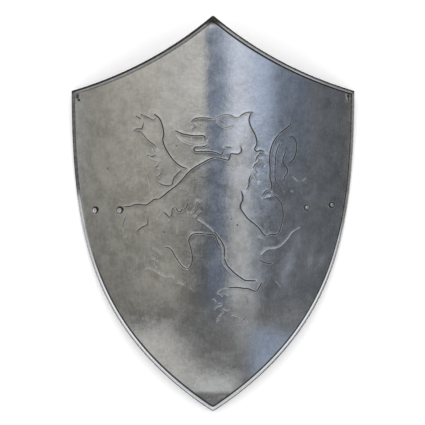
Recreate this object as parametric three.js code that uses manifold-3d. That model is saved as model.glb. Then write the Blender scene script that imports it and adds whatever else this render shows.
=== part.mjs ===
// A heater shield: one curved steel sheet with a rolled rim and an incised lion rampant,
// carried on the arm by one leather strap that four rivets hold behind it.
// It lies face up, as it does when it is put down. Millimetres, +Z up, head end at +Y.

import * as THREE from 'three';
import { mergeVertices } from 'three/addons/utils/BufferGeometryUtils.js';
import Module from 'manifold-3d';

const wasm = await Module();
wasm.setup();

// Outline of the shield, over the rim
const shieldWidth = 508;
const shieldHeight = 693;
const cornerHeight = 569;
const topHollow = 17;
const sideEarlyTaper = 0.33;

// Sheet and its two bends
const sheetThickness = 1.2;
const curveDepth = 90;
const tipSetback = 25;
const bendStart = 230;

// Rolled rim, with the small flats that the shield lies on
const rimDiameter = 7.5;
const rimRise = 2.2;
const weldHeight = 0.1;
const restFlatDepth = 0.4;

// Rivets, washers and strap
const clearance = 0.3;
const rivetHeadDiameter = 11.5;
const rivetHeadHeight = 3.6;
const rivetShankDiameter = 4;
const rivetTailDiameter = 7;
const rivetTailHeight = 2;
const washerDiameter = 13;
const washerThickness = 1.2;
const strapWidth = 36;
const strapThickness = 3;
const strapEnd = 17;
const strapFreeFrom = 14;
const strapDrop = 68;

// Rivets stand in a row across, set in from the shield's side, and the row climbs a little to the right
const rivetRowHeight = 354;
const rivetPlan = {
  left_outer: { hand: -1, inset: 45, lift: 0 },
  left_inner: { hand: -1, inset: 90, lift: 0 },
  right_inner: { hand: 1, inset: 88, lift: 3.5 },
  right_outer: { hand: 1, inset: 43, lift: 8.5 },
};

// Lion: its height, its middle above the tip, and the incised line
const lionHeight = 371;
const lionMiddle = 340;
const lionGrooveWidth = 2.6;
const lionGrooveDepth = 0.7;

// Fineness of the faceted surfaces
const sheetStrips = 36;
const bendRows = 6;
const rimSides = 8;
const rimStep = 19;
const grooveStep = 10;
const strapSteps = 40;
const roundSides = 12;

// Steel and leather, in grams per cubic millimetre, for the balance of the lying shield
const steelDensity = 0.00785;
const leatherDensity = 0.0009;

const rivetNames = Object.keys(rivetPlan);
const rivetPlaces = Object.fromEntries(rivetNames.map((name) => {
  const { hand, inset, lift } = rivetPlan[name];
  return [name, [hand * (shieldWidth / 2 - inset), rivetRowHeight + lift]];
}));

const rimRadius = rimDiameter / 2;
const outerRadius = (shieldWidth ** 2 / 4 + curveDepth ** 2) / (2 * curveDepth);

// Height of the sheet's outer face above its crown line, a negative number
function faceHeight(x, y) {
  const bend = Math.max(0, (bendStart - y) / bendStart);
  return Math.sqrt(outerRadius ** 2 - x ** 2) - outerRadius - tipSetback * bend ** 2;
}

// Outward normal of that face
function faceNormal(x, y) {
  const bend = Math.max(0, (bendStart - y) / bendStart);
  const slopeAcross = -x / Math.sqrt(outerRadius ** 2 - x ** 2);
  const slopeAlong = 2 * tipSetback * bend / bendStart;
  return new THREE.Vector3(-slopeAcross, -slopeAlong, 1).normalize();
}

// A point at a depth under the face, measured square to it
function underFace(x, y, depth) {
  return new THREE.Vector3(x, y, faceHeight(x, y)).addScaledVector(faceNormal(x, y), -depth);
}

// Middle line of the rim in plan: a side from corner to tip, and a hollow top edge
const rimHalfWidth = shieldWidth / 2 - rimRadius;
const rimCorner = cornerHeight - rimRadius;
const rimPeak = shieldHeight - rimRadius;
const rimTip = rimRadius;

function sidePoint(share) {
  const taper = sideEarlyTaper * share ** 2 + (1 - sideEarlyTaper) * share ** 4;
  return new THREE.Vector2(rimHalfWidth * (1 - taper), THREE.MathUtils.lerp(rimCorner, rimTip, share));
}

const topChord = new THREE.Vector2(rimHalfWidth, rimCorner - rimPeak);
const topBelow = new THREE.Vector2(topChord.y, -topChord.x).normalize();
const topEdge = new THREE.QuadraticBezierCurve(
  new THREE.Vector2(0, rimPeak),
  new THREE.Vector2(0, rimPeak).addScaledVector(topChord, 0.5).addScaledVector(topBelow, 2 * topHollow),
  new THREE.Vector2(rimHalfWidth, rimCorner),
);

// One edge of the rim in space, on the left (-1) or the right (+1)
class RimEdge extends THREE.Curve {
  constructor(planPoint, hand) {
    super();
    this.planPoint = planPoint;
    this.hand = hand;
  }

  getPoint(share) {
    const plan = this.planPoint(share);
    const x = this.hand * plan.x;
    const sunk = (rimRadius - rimRise) / faceNormal(x, plan.y).z;
    return new THREE.Vector3(x, plan.y, faceHeight(x, plan.y) - sunk);
  }
}

const topPoint = (share) => topEdge.getPoint(share);
const hands = [-1, 1];
const rimEdges = hands.flatMap((hand) => [new RimEdge(sidePoint, hand), new RimEdge(topPoint, hand)]);

// Between three.js geometry and solids that can be cut and joined
function toSolid(geometry) {
  const bare = geometry.clone();
  bare.deleteAttribute('normal');
  bare.deleteAttribute('uv');
  const merged = mergeVertices(bare, 1e-5);
  return new wasm.Manifold(new wasm.Mesh({
    numProp: 3,
    vertProperties: Float32Array.from(merged.attributes.position.array),
    triVerts: Uint32Array.from(merged.index.array),
  }));
}

function toGeometry(solid) {
  const mesh = solid.getMesh();
  const geometry = new THREE.BufferGeometry();
  geometry.setAttribute('position', new THREE.BufferAttribute(Float32Array.from(mesh.vertProperties), 3));
  geometry.setIndex(new THREE.BufferAttribute(Uint32Array.from(mesh.triVerts), 1));
  return geometry;
}

function moveVertices(geometry, rule) {
  const places = geometry.attributes.position;
  const point = new THREE.Vector3();
  for (let i = 0; i < places.count; i += 1) {
    point.fromBufferAttribute(places, i);
    places.setXYZ(i, ...rule(point));
  }
  return geometry;
}

// The curved sheet before its outline is cut: straight above the bend, set back below it
function curvedSlab() {
  const halfAngle = Math.asin(shieldWidth / 2 / outerRadius);
  const rows = bendRows + 1;
  const slab = new THREE.BoxGeometry(2, 1, sheetThickness, sheetStrips, rows, 1);
  return toSolid(moveVertices(slab, (point) => {
    const rise = (point.y + 0.5) * rows;
    const above = Math.max(0, rise - bendRows);
    const y = Math.min(rise / bendRows, 1) * bendStart + above * (shieldHeight - bendStart);
    const radius = point.z > 0 ? outerRadius : outerRadius - sheetThickness;
    const angle = point.x * halfAngle;
    const setback = tipSetback * Math.max(0, (bendStart - y) / bendStart) ** 2;
    return [radius * Math.sin(angle), y, radius * Math.cos(angle) - outerRadius - setback];
  }));
}

// What the outline leaves: a tall block with the rim's middle line as its edge
function outlineBlock() {
  const shares = (steps, first) => [...Array(steps + 1).keys()].slice(first).map((i) => i / steps);
  const topSteps = Math.ceil(topChord.length() / rimStep);
  const sideSteps = Math.ceil(rimCorner / rimStep);
  const right = [...shares(topSteps, 0).map(topPoint), ...shares(sideSteps, 1).map(sidePoint)];
  const left = right.slice(1, -1).reverse().map((point) => new THREE.Vector2(-point.x, point.y));
  const outline = new THREE.Shape([...right, ...left]);
  const block = new THREE.ExtrudeGeometry(outline, { depth: 3 * curveDepth, bevelEnabled: false });
  return toSolid(block.translate(0, 0, -2 * curveDepth));
}

// The rolled rim: a round bead on each edge, with a ball where two edges meet
function rimBead(edge) {
  const section = new THREE.Shape().absarc(0, 0, rimRadius, 0, 2 * Math.PI);
  const steps = Math.ceil(edge.getLength() / rimStep);
  const options = { steps, curveSegments: rimSides / 2, extrudePath: edge };
  return toSolid(new THREE.ExtrudeGeometry(section, options));
}

function rimBall(point) {
  const ball = new THREE.SphereGeometry(rimRadius + weldHeight, rimSides, rimSides / 2);
  return toSolid(ball.translate(point.x, point.y, point.z));
}

function rim() {
  const beads = rimEdges.map(rimBead);
  const corners = rimEdges.flatMap((edge) => [edge.getPoint(0), edge.getPoint(1)]);
  return wasm.Manifold.union([...beads, ...corners.map(rimBall)]);
}

// A round piece or cutter turned square to the face, from its profile of radius and height
function turnedOnFace(profile, x, y) {
  const points = profile.map(([radius, height]) => new THREE.Vector2(radius, height));
  const turned = new THREE.LatheGeometry(points, roundSides);
  const upright = new THREE.Quaternion().setFromUnitVectors(new THREE.Vector3(0, 1, 0), faceNormal(x, y));
  return turned.applyQuaternion(upright).translate(x, y, faceHeight(x, y));
}

function boreThrough(x, y, radius) {
  const reach = 3 * strapThickness;
  return toSolid(turnedOnFace([[0, -reach], [radius, -reach], [radius, reach], [0, reach]], x, y));
}

// The lion rampant, facing left, drawn in squares: 211 squares are its height, [0, 0] its middle
const lionSquares = 211;
const lionStrokes = {
  head: [
    [[-21.5, 95], [-16, 99], [-5, 99], [0.5, 98], [9.5, 102], [13.5, 102.5], [22, 99.5], [26.5, 100]],
    [[-21.5, 95], [-18, 91], [-20, 88.5], [-19.5, 85.5]],
    [[5.5, 99.5], [4, 95.5], [7.5, 91.5], [13, 89.5], [18.5, 91]],
    [[-5, 72.5], [-10, 70.5], [-18, 70], [-19, 68], [-18, 66], [-4.5, 66], [2, 65], [8.5, 63], [10.5, 66.5]],
    [[11.5, 70.5], [18, 70]],
    [[26.5, 100], [29, 102.5], [33, 104.5], [39, 105]],
  ],
  tongue: [
    [[-37, 86.5], [-31.5, 84], [-25.5, 82.5], [-17, 81.5], [-9.5, 81.5], [-8, 77]],
    [[-36.5, 83], [-31.5, 77.5], [-25.5, 74.5], [-20, 73], [-12, 73], [-7.5, 74.5], [-5.5, 78]],
  ],
  mane: [
    [[39, 105], [36, 96.5], [38, 90], [43.5, 77], [41.5, 68.5], [43.5, 66], [51, 66]],
    [[42.5, 57], [44.5, 61.5], [48, 64.5], [51, 64]],
    [[42.5, 56], [45, 58.5], [47.5, 58], [51, 52.5]],
    [[40, 49.5], [42, 53], [45.5, 55]],
    [[42, 48], [44.5, 44.5]],
    [[41.5, 42.5], [44.5, 37]],
  ],
  back: [
    [[38, 43], [36, 38], [36, 34], [33, 28]],
    [[28, 26.5], [29.5, 20], [27.5, 11.5], [35, -1], [45.5, -10], [52, -17.5], [57.5, -16.5], [64, -16.5],
      [68, -9], [70, 3], [69, 12.5], [60.5, 22]],
    [[43.5, -18.5], [50, -20.5]],
  ],
  throatAndForeleg: [
    [[27.5, 71], [28.5, 67], [25.5, 63.5], [17.5, 63.5], [15.5, 57.5], [7.5, 59], [2, 60], [-9.5, 55],
      [-24.5, 45], [-36.5, 32], [-54, 18.5], [-58.5, 18.5], [-66.5, 13], [-79, 13], [-88, 11]],
    [[-86.5, 2.5], [-90.5, -7.5], [-90, -11]],
    [[-65, 0], [-65.5, -6.5], [-74.5, -12], [-77.5, -15.5]],
  ],
  chestHair: [
    [[-54.5, -0.5], [-49, 6], [-43.5, -0.5]],
    [[-43.5, -0.5], [-41, 3.5], [-40.5, 8.5], [-37.5, 11]],
    [[-25, 7], [-22, 12.5]],
    [[-20.5, 5.5], [-17.5, 9.5], [-15.5, 16], [-12.5, 16.5]],
    [[-12, 7.5], [-17, 2.5]],
  ],
  raisedForeleg: [
    [[-76.5, 101.5], [-72, 99]],
    [[-71.5, 103], [-65.5, 100.5], [-59.5, 97.5], [-57, 99]],
    [[-58, 103], [-53.5, 99], [-49.5, 87.5], [-50, 78], [-45.5, 66], [-36.5, 54.5], [-26, 49]],
    [[-69.5, 95.5], [-71, 89.5], [-79, 87]],
    [[-79, 87], [-72.5, 86], [-66.5, 79], [-56.5, 69.5]],
    [[-60, 69.5], [-58, 64.5], [-55, 62.5]],
    [[-65, 62.5], [-61.5, 61], [-57.5, 62.5]],
    [[-65, 62.5], [-58.5, 58.5], [-53.5, 57]],
    [[-59, 49.5], [-55, 52]],
    [[-57.5, 40], [-53, 42.5]],
    [[-54.5, 35], [-48, 32.5], [-41, 33], [-38.5, 40], [-30.5, 48]],
  ],
  belly: [
    [[-15, -1], [-4.5, -8.5], [4.5, -18], [11, -29], [10.5, -40.5], [18, -52.5], [31.5, -62.5], [42.5, -63]],
  ],
  forwardHindLeg: [
    [[-48.5, -29.5], [-45, -29.5], [-37.5, -38.5], [-29.5, -49], [-25, -51], [-20.5, -42], [-22.5, -28.5],
      [-24, -22.5], [-19, -16], [-8, -16], [1.5, -17.5], [7, -28.5]],
    [[-60.5, -30], [-51.5, -36]],
    [[-62, -40], [-55, -43.5]],
    [[-68.5, -51], [-61, -51.5], [-55.5, -53.5], [-48.5, -58], [-39.5, -58.5], [-38, -62]],
    [[-36.5, -64.5], [-32.5, -64], [-29.5, -66]],
  ],
  standingHindLeg: [
    [[4, -74.5], [9.5, -70.5], [23, -69], [35.5, -70.5], [44, -73], [49, -64]],
    [[5.5, -76], [9.5, -78]],
    [[12.5, -75], [16, -77]],
    [[1.5, -90.5], [5.5, -87.5], [9.5, -87]],
    [[9.5, -90.5], [14, -92.5], [17, -90]],
    [[4, -104.5], [5.5, -98.5], [9.5, -95.5]],
    [[24, -105.5], [30, -105], [35.5, -100]],
    [[87, -9.5], [78, -15], [71, -24], [61.5, -30], [50, -33.5], [47.5, -36]],
    [[46, -41.5], [52.5, -45], [59.5, -45]],
    [[62, -63], [67, -69.5]],
  ],
  tail: [
    [[78.5, 97.5], [74.5, 90.5], [66.5, 84], [59, 72.5], [56.5, 57], [57, 39], [58.5, 28]],
    [[58.5, 28], [53, 27], [49.5, 21]],
    [[51, 20.5], [59, 22.5]],
    [[68, 75.5], [63, 64], [62, 48], [63.5, 35.5], [70, 27.5]],
    [[75, 80.5], [80.5, 81], [84, 70], [81, 59], [75, 55]],
    [[73, 67], [70, 58], [74, 50], [71, 35.5]],
    [[79.5, 41.5], [85.5, 36.5]],
    [[89.5, 37], [93.5, 40.5]],
  ],
};

// Cutter for one incised line: a three-sided bar bent along it, thinner at both ends
const cutterLift = 0.4;
const strokeEndLength = 9;
const strokeEndShare = 0.35;

function strokeCutter(squares) {
  const size = lionHeight / lionSquares;
  const points = squares.map(([x, y]) => new THREE.Vector3(x * size, lionMiddle + y * size, 0));
  const line = new THREE.CatmullRomCurve3(points, false, 'centripetal');
  const length = line.getLength();
  const bar = new THREE.CylinderGeometry(1, 1, 1, 3, Math.max(2, Math.ceil(length / grooveStep)));
  return toSolid(moveVertices(bar, (corner) => {
    const share = THREE.MathUtils.clamp(corner.y + 0.5, 0, 1);
    const fromEnd = Math.min(share, 1 - share) * length;
    const fullness = THREE.MathUtils.clamp(fromEnd / strokeEndLength, strokeEndShare, 1);
    const depth = lionGrooveDepth * fullness;
    const halfWidth = lionGrooveWidth / 2 * fullness * (1 + cutterLift / depth);
    const across = corner.x / Math.sin(2 * Math.PI / 3) * halfWidth;
    const down = (corner.z + 0.5) / 1.5;
    const place = line.getPointAt(share);
    const along = line.getTangentAt(share);
    const x = place.x - along.y * across;
    const y = place.y + along.x * across;
    return [x, y, faceHeight(x, y) + cutterLift - down * (cutterLift + depth)];
  }));
}

const lionCutter = () => wasm.Manifold.union(Object.values(lionStrokes).flat().map(strokeCutter));

// The strap's middle line lies on the inner face at its ends and hangs away from it between
const strapCover = sheetThickness + clearance + strapThickness / 2;
const innerRivets = [rivetPlaces.left_inner, rivetPlaces.right_inner];
const strapFree = Math.min(...innerRivets.map(([x]) => Math.abs(x))) - strapFreeFrom;
const strapFullness = 1.35;

function strapMiddle(x) {
  const [leftX, leftY] = rivetPlaces.left_outer;
  const [rightX, rightY] = rivetPlaces.right_outer;
  const y = THREE.MathUtils.lerp(leftY, rightY, (x - leftX) / (rightX - leftX));
  const hang = (strapDrop - clearance) * Math.max(0, 1 - (x / strapFree) ** 2) ** strapFullness;
  const middle = underFace(x, y, strapCover);
  return middle.setZ(middle.z - hang);
}

function strapSolid() {
  const start = rivetPlaces.left_outer[0] - strapEnd;
  const stop = rivetPlaces.right_outer[0] + strapEnd;
  const bar = new THREE.BoxGeometry(1, strapWidth, strapThickness, strapSteps, 1, 1);
  return toSolid(moveVertices(bar, (corner) => {
    const x = THREE.MathUtils.lerp(start, stop, corner.x + 0.5);
    const middle = strapMiddle(x);
    const along = strapMiddle(x + 1).sub(strapMiddle(x - 1));
    const square = new THREE.Vector3(-along.z, 0, along.x).setLength(corner.z);
    return [middle.x + square.x, middle.y + corner.y, middle.z + square.z];
  }));
}

// Depths under the face at which the washer and the rivet's clenched tail lie
const washerTop = sheetThickness + 2 * clearance + strapThickness;
const tailTop = washerTop + washerThickness + clearance;
const boreRadius = rivetShankDiameter / 2 + clearance;
const domeRings = [0.88, 0.65, 0.35];
const tailFlatShare = 0.6;

function rivetGeometry(x, y) {
  const headRadius = rivetHeadDiameter / 2;
  const domeRadius = (headRadius ** 2 + rivetHeadHeight ** 2) / (2 * rivetHeadHeight);
  const dome = domeRings.map((share) => {
    const radius = headRadius * share;
    return [radius, clearance + rivetHeadHeight - domeRadius + Math.sqrt(domeRadius ** 2 - radius ** 2)];
  });
  const shank = rivetShankDiameter / 2;
  const tail = rivetTailDiameter / 2;
  const tailEnd = tailTop + rivetTailHeight;
  const profile = [
    [0, -tailEnd], [tail * tailFlatShare, -tailEnd], [tail, -tailTop - rivetTailHeight / 2], [tail, -tailTop],
    [shank, -tailTop], [shank, clearance], [headRadius, clearance], ...dome,
    [0, clearance + rivetHeadHeight],
  ];
  return turnedOnFace(profile, x, y);
}

function washerGeometry(x, y) {
  const bottom = -washerTop - washerThickness;
  const outer = washerDiameter / 2;
  const inner = [[boreRadius, -washerTop], [boreRadius, bottom]];
  const ring = [inner[1], [outer, bottom], [outer, -washerTop], ...inner];
  return turnedOnFace(ring, x, y);
}

// Volume and balance point of a closed surface
function balance(geometry, density) {
  const places = geometry.attributes.position;
  const order = geometry.index ? geometry.index.array : [...Array(places.count).keys()];
  const corners = [new THREE.Vector3(), new THREE.Vector3(), new THREE.Vector3()];
  const moment = new THREE.Vector3();
  let mass = 0;
  for (let i = 0; i < order.length; i += 3) {
    corners.forEach((corner, k) => corner.fromBufferAttribute(places, order[i + k]));
    const [a, b, c] = corners;
    const share = density * a.dot(b.clone().cross(c)) / 6;
    mass += share;
    moment.addScaledVector(a.clone().add(b).add(c), share / 4);
  }
  return { mass, moment };
}

// The lying shield rolls on its side rims until the rim it touches with is under its balance point
function restingTilt(pieces) {
  const mass = pieces.reduce((sum, piece) => sum + piece.mass, 0);
  const middle = pieces.reduce((sum, piece) => sum.add(piece.moment), new THREE.Vector3()).divideScalar(mass);
  const side = new RimEdge(sidePoint, 1);
  const samples = Array.from({ length: 800 }, (unused, i) => side.getPoint(i / 800));
  const xAxis = new THREE.Vector3(1, 0, 0);
  const overhang = (tilt) => {
    const turned = samples.map((point) => point.clone().applyAxisAngle(xAxis, tilt));
    const lowest = turned.reduce((low, point) => (point.z < low.z ? point : low));
    return lowest.y - middle.clone().applyAxisAngle(xAxis, tilt).y;
  };
  let [low, high] = [-0.4, 0.4];
  for (let i = 0; i < 40; i += 1) {
    const tilt = (low + high) / 2;
    if (overhang(tilt) > 0) low = tilt;
    else high = tilt;
  }
  return (low + high) / 2;
}

// Everything in the shield's own frame: crown line level, tip at y = 0
const boredPlaces = Object.values(rivetPlaces);
const bores = wasm.Manifold.union(boredPlaces.map(([x, y]) => boreThrough(x, y, boreRadius)));
const uncutPlate = curvedSlab().intersect(outlineBlock()).add(rim()).subtract(bores).subtract(lionCutter());
const strap = toGeometry(strapSolid().subtract(bores));
const rivets = boredPlaces.map(([x, y]) => rivetGeometry(x, y));
const washers = boredPlaces.map(([x, y]) => washerGeometry(x, y));

const tilt = restingTilt([
  balance(toGeometry(uncutPlate), steelDensity),
  balance(strap, leatherDensity),
  ...[...rivets, ...washers].map((piece) => balance(piece, steelDensity)),
]);
const restTurn = new THREE.Matrix4().makeRotationX(tilt);
const turnedBox = toGeometry(uncutPlate).applyMatrix4(restTurn);
turnedBox.computeBoundingBox();
const { min: lowCorner, max: highCorner } = turnedBox.boundingBox;
const floorLevel = lowCorner.z + restFlatDepth;

// Flats where the lying shield touches the ground, cut level with it
const belowFloor = new THREE.BoxGeometry(2 * shieldWidth, 2 * shieldHeight, curveDepth);
belowFloor.translate(0, shieldHeight / 2, floorLevel - curveDepth / 2);
belowFloor.applyMatrix4(restTurn.clone().invert());
const plate = toGeometry(uncutPlate.subtract(toSolid(belowFloor)));

// Colours and finish, as the piece shows them
const steel = () => new THREE.MeshStandardMaterial({ color: 0x8d8f93, metalness: 1, roughness: 0.34 });
const rivetSteel = () => new THREE.MeshStandardMaterial({ color: 0x9a9a9a, metalness: 1, roughness: 0.28 });
const leather = () => new THREE.MeshStandardMaterial({ color: 0x4a2c1a, metalness: 0, roughness: 0.7 });

const shield = new THREE.Group();
shield.rotation.x = tilt;
shield.position.set(0, -(lowCorner.y + highCorner.y) / 2, -floorLevel);

function addPiece(name, geometry, material) {
  const mesh = new THREE.Mesh(geometry, material);
  mesh.name = name;
  shield.add(mesh);
}

addPiece('shield_plate', plate, steel());
addPiece('arm_strap', strap, leather());
rivetNames.forEach((name, i) => {
  addPiece(`rivet_${name}`, rivets[i], rivetSteel());
  addPiece(`washer_${name}`, washers[i], rivetSteel());
});

const model = new THREE.Group();
model.add(shield);

export default model;
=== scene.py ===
"""The looks of a heater shield that lies face up: satin steel with an incised lion rampant,
a rolled rim, four domed rivets, and the washers and leather arm strap behind it."""

import math

import bpy
import numpy as np
from mathutils import Matrix, Vector
from mathutils.geometry import delaunay_2d_cdt
from mathutils.kdtree import KDTree


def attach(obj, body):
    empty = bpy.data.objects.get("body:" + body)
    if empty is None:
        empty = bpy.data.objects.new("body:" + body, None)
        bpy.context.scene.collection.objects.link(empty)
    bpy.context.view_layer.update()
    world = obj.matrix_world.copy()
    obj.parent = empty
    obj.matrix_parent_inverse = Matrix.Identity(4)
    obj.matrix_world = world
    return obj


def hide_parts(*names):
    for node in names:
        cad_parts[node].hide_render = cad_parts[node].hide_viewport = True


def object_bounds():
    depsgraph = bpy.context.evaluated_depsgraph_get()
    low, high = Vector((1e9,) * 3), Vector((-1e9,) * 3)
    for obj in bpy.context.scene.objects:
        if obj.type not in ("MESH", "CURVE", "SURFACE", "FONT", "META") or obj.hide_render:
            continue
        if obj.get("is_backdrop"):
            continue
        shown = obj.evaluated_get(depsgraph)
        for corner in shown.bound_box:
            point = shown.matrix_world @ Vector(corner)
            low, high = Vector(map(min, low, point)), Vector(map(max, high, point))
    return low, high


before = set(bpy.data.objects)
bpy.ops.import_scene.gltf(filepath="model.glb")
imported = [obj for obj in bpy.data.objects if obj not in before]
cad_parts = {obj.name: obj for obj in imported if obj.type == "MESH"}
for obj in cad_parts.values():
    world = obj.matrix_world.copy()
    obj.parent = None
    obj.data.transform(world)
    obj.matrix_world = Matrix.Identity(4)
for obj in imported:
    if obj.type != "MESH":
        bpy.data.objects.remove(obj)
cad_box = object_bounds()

MM = 0.001

# The shield's own frame, in millimetres: tip at y = 0, crown line of the face at z = 0
SHIELD_WIDTH = 508
SHIELD_HEIGHT = 693
CORNER_HEIGHT = 569
TOP_HOLLOW = 17
SIDE_EARLY_TAPER = 0.33
SHEET = 1.2
CURVE_DEPTH = 90
TIP_SETBACK = 25
BEND_START = 230
RIM_RADIUS = 3.75
RIM_RISE = 2.2
CLEARANCE = 0.3

RIVETS = {"left_outer": (-209, 354), "left_inner": (-164, 354),
          "right_inner": (166, 357.5), "right_outer": (211, 362.5)}
HEAD_RADIUS = 5.75
HEAD_HEIGHT = 3.6
SHANK_RADIUS = 2
TAIL_RADIUS = 3.5
TAIL_HEIGHT = 2
WASHER_RADIUS = 6.5
WASHER_THICKNESS = 1.2
STRAP_WIDTH = 36
STRAP_THICKNESS = 3
STRAP_END = 17
STRAP_FREE = 150
STRAP_DROP = 68
STRAP_FULLNESS = 1.35

# How the lying shield rests: head end raised a little, its rim on the ground
REST_TILT = math.radians(6.7706)
REST_SHIFT = (0, -345.694, 38.668)

OUTER_RADIUS = (SHIELD_WIDTH ** 2 / 4 + CURVE_DEPTH ** 2) / (2 * CURVE_DEPTH)
TO_WORLD = Matrix.Scale(MM, 4) @ Matrix.Translation(REST_SHIFT) @ Matrix.Rotation(REST_TILT, 4, "X")


def columns(*parts):
    """Arrays side by side, as places or directions."""
    return np.stack(parts, axis=-1)


def unit(vectors):
    return vectors / np.linalg.norm(vectors, axis=-1, keepdims=True)


def eased(value, low, high):
    """0 below low, 1 above high, and smooth between."""
    share = np.clip((value - low) / (high - low), 0, 1)
    return share * share * (3 - 2 * share)


def hump(*parts):
    """1 where every part is 0, and falling away on all sides."""
    return np.exp(-sum(part ** 2 for part in parts))


def bend_share(y):
    return np.maximum(0, (BEND_START - y) / BEND_START)


def face_height(x, y):
    """Height of the sheet's outer face under its crown line."""
    return np.sqrt(OUTER_RADIUS ** 2 - x ** 2) - OUTER_RADIUS - TIP_SETBACK * bend_share(y) ** 2


def on_face(x, y):
    return columns(x, y, face_height(x, y))


def face_slopes(x, y):
    return -x / np.sqrt(OUTER_RADIUS ** 2 - x ** 2), 2 * TIP_SETBACK * bend_share(y) / BEND_START


def face_normal(x, y):
    across, along = face_slopes(x, y)
    return unit(columns(-across, -along, np.ones_like(across)))


# Outline of the shield: the rim's middle line in plan

RIM_HALF_WIDTH = SHIELD_WIDTH / 2 - RIM_RADIUS
RIM_CORNER = CORNER_HEIGHT - RIM_RADIUS
RIM_PEAK = SHIELD_HEIGHT - RIM_RADIUS
RIM_TIP = RIM_RADIUS


def side_edge(share):
    """The right side, from corner to tip."""
    taper = SIDE_EARLY_TAPER * share ** 2 + (1 - SIDE_EARLY_TAPER) * share ** 4
    return columns(RIM_HALF_WIDTH * (1 - taper), RIM_CORNER + (RIM_TIP - RIM_CORNER) * share)


def top_edge(share):
    """The right half of the hollow top edge, from peak to corner."""
    peak = np.array([0, RIM_PEAK])
    corner = np.array([RIM_HALF_WIDTH, RIM_CORNER])
    chord = corner - peak
    below = np.array([chord[1], -chord[0]]) / np.linalg.norm(chord)
    bow = (peak + corner) / 2 + 2 * TOP_HOLLOW * below
    share = np.asarray(share, dtype=float)[..., None]
    return (1 - share) ** 2 * peak + 2 * share * (1 - share) * bow + share ** 2 * corner


def rim_frame(edge, share):
    """Places on the rim's middle line, the ways along it and inwards, and the face's normal."""
    x, y = np.moveaxis(edge(share), -1, 0)
    normal = face_normal(x, y)
    middle = columns(x, y, face_height(x, y) - (RIM_RADIUS - RIM_RISE) / normal[..., 2])
    ahead, back = (on_face(*np.moveaxis(edge(share + step), -1, 0)) for step in (1e-4, -1e-4))
    along = unit(ahead - back)
    return middle, along, np.cross(along, normal), normal


def swept(edge, share, inset, rise):
    """A line beside the rim's middle: inset towards the inside, rise out of the face."""
    middle, _, inward, normal = rim_frame(edge, share)
    return middle + inset * inward + rise * normal


MITRE_REACH = 0.12
HALVINGS = 40


def share_at_plane(edge, inset, rise, guess, origin, plane):
    """Where a swept line meets the plane of a mitre."""
    def side_of(share):
        return np.dot(swept(edge, np.array(share), inset, rise) - origin, plane)

    low, high = guess - MITRE_REACH, guess + MITRE_REACH
    side = side_of(low)
    for _ in range(HALVINGS):
        middle = (low + high) / 2
        if side_of(middle) * side > 0:
            low = middle
        else:
            high = middle
    return (low + high) / 2


# Mitre planes: a place and a normal
CORNER, SIDE_WAY, _, _ = rim_frame(side_edge, np.array(0.0))
CORNER_MITRE = (CORNER, SIDE_WAY + rim_frame(top_edge, np.array(1.0))[1])
MIDDLE_MITRE = (np.zeros(3), np.array([1.0, 0, 0]))
SIDE_STATIONS = 170
TOP_STATIONS = 76


def mitred(edge, inset, rise, first, last, stations):
    """A swept line cut at the mitres of its two ends."""
    start = share_at_plane(edge, inset, rise, 0, *first)
    end = share_at_plane(edge, inset, rise, 1, *last)
    return swept(edge, np.linspace(start, end, stations + 1), inset, rise)


def rim_ring(inset, rise):
    """One closed line round the whole shield, mitred at peak, corners and tip."""
    top = mitred(top_edge, inset, rise, MIDDLE_MITRE, CORNER_MITRE, TOP_STATIONS)
    side = mitred(side_edge, inset, rise, CORNER_MITRE, MIDDLE_MITRE, SIDE_STATIONS)
    right = np.concatenate([top, side[1:]])
    left = right[1:-1][::-1] * np.array([-1, 1, 1])
    right[[0, -1], 0] = 0
    return np.concatenate([right, left])


# The lion rampant, facing left, drawn in squares: 211 squares are its height, (0, 0) its middle.
# Each line: how deep it is struck and how dark it looks, against the fullest, then its points' x and y.

LION_SQUARE = 371 / 211
LION_MIDDLE = 340
GROOVE_HALF_WIDTH = 1.25
GROOVE_DEPTH = 0.55
GROOVE_LIP = 0.08
GROOVE_REACH = 3.5
STROKE_END = 6

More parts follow.
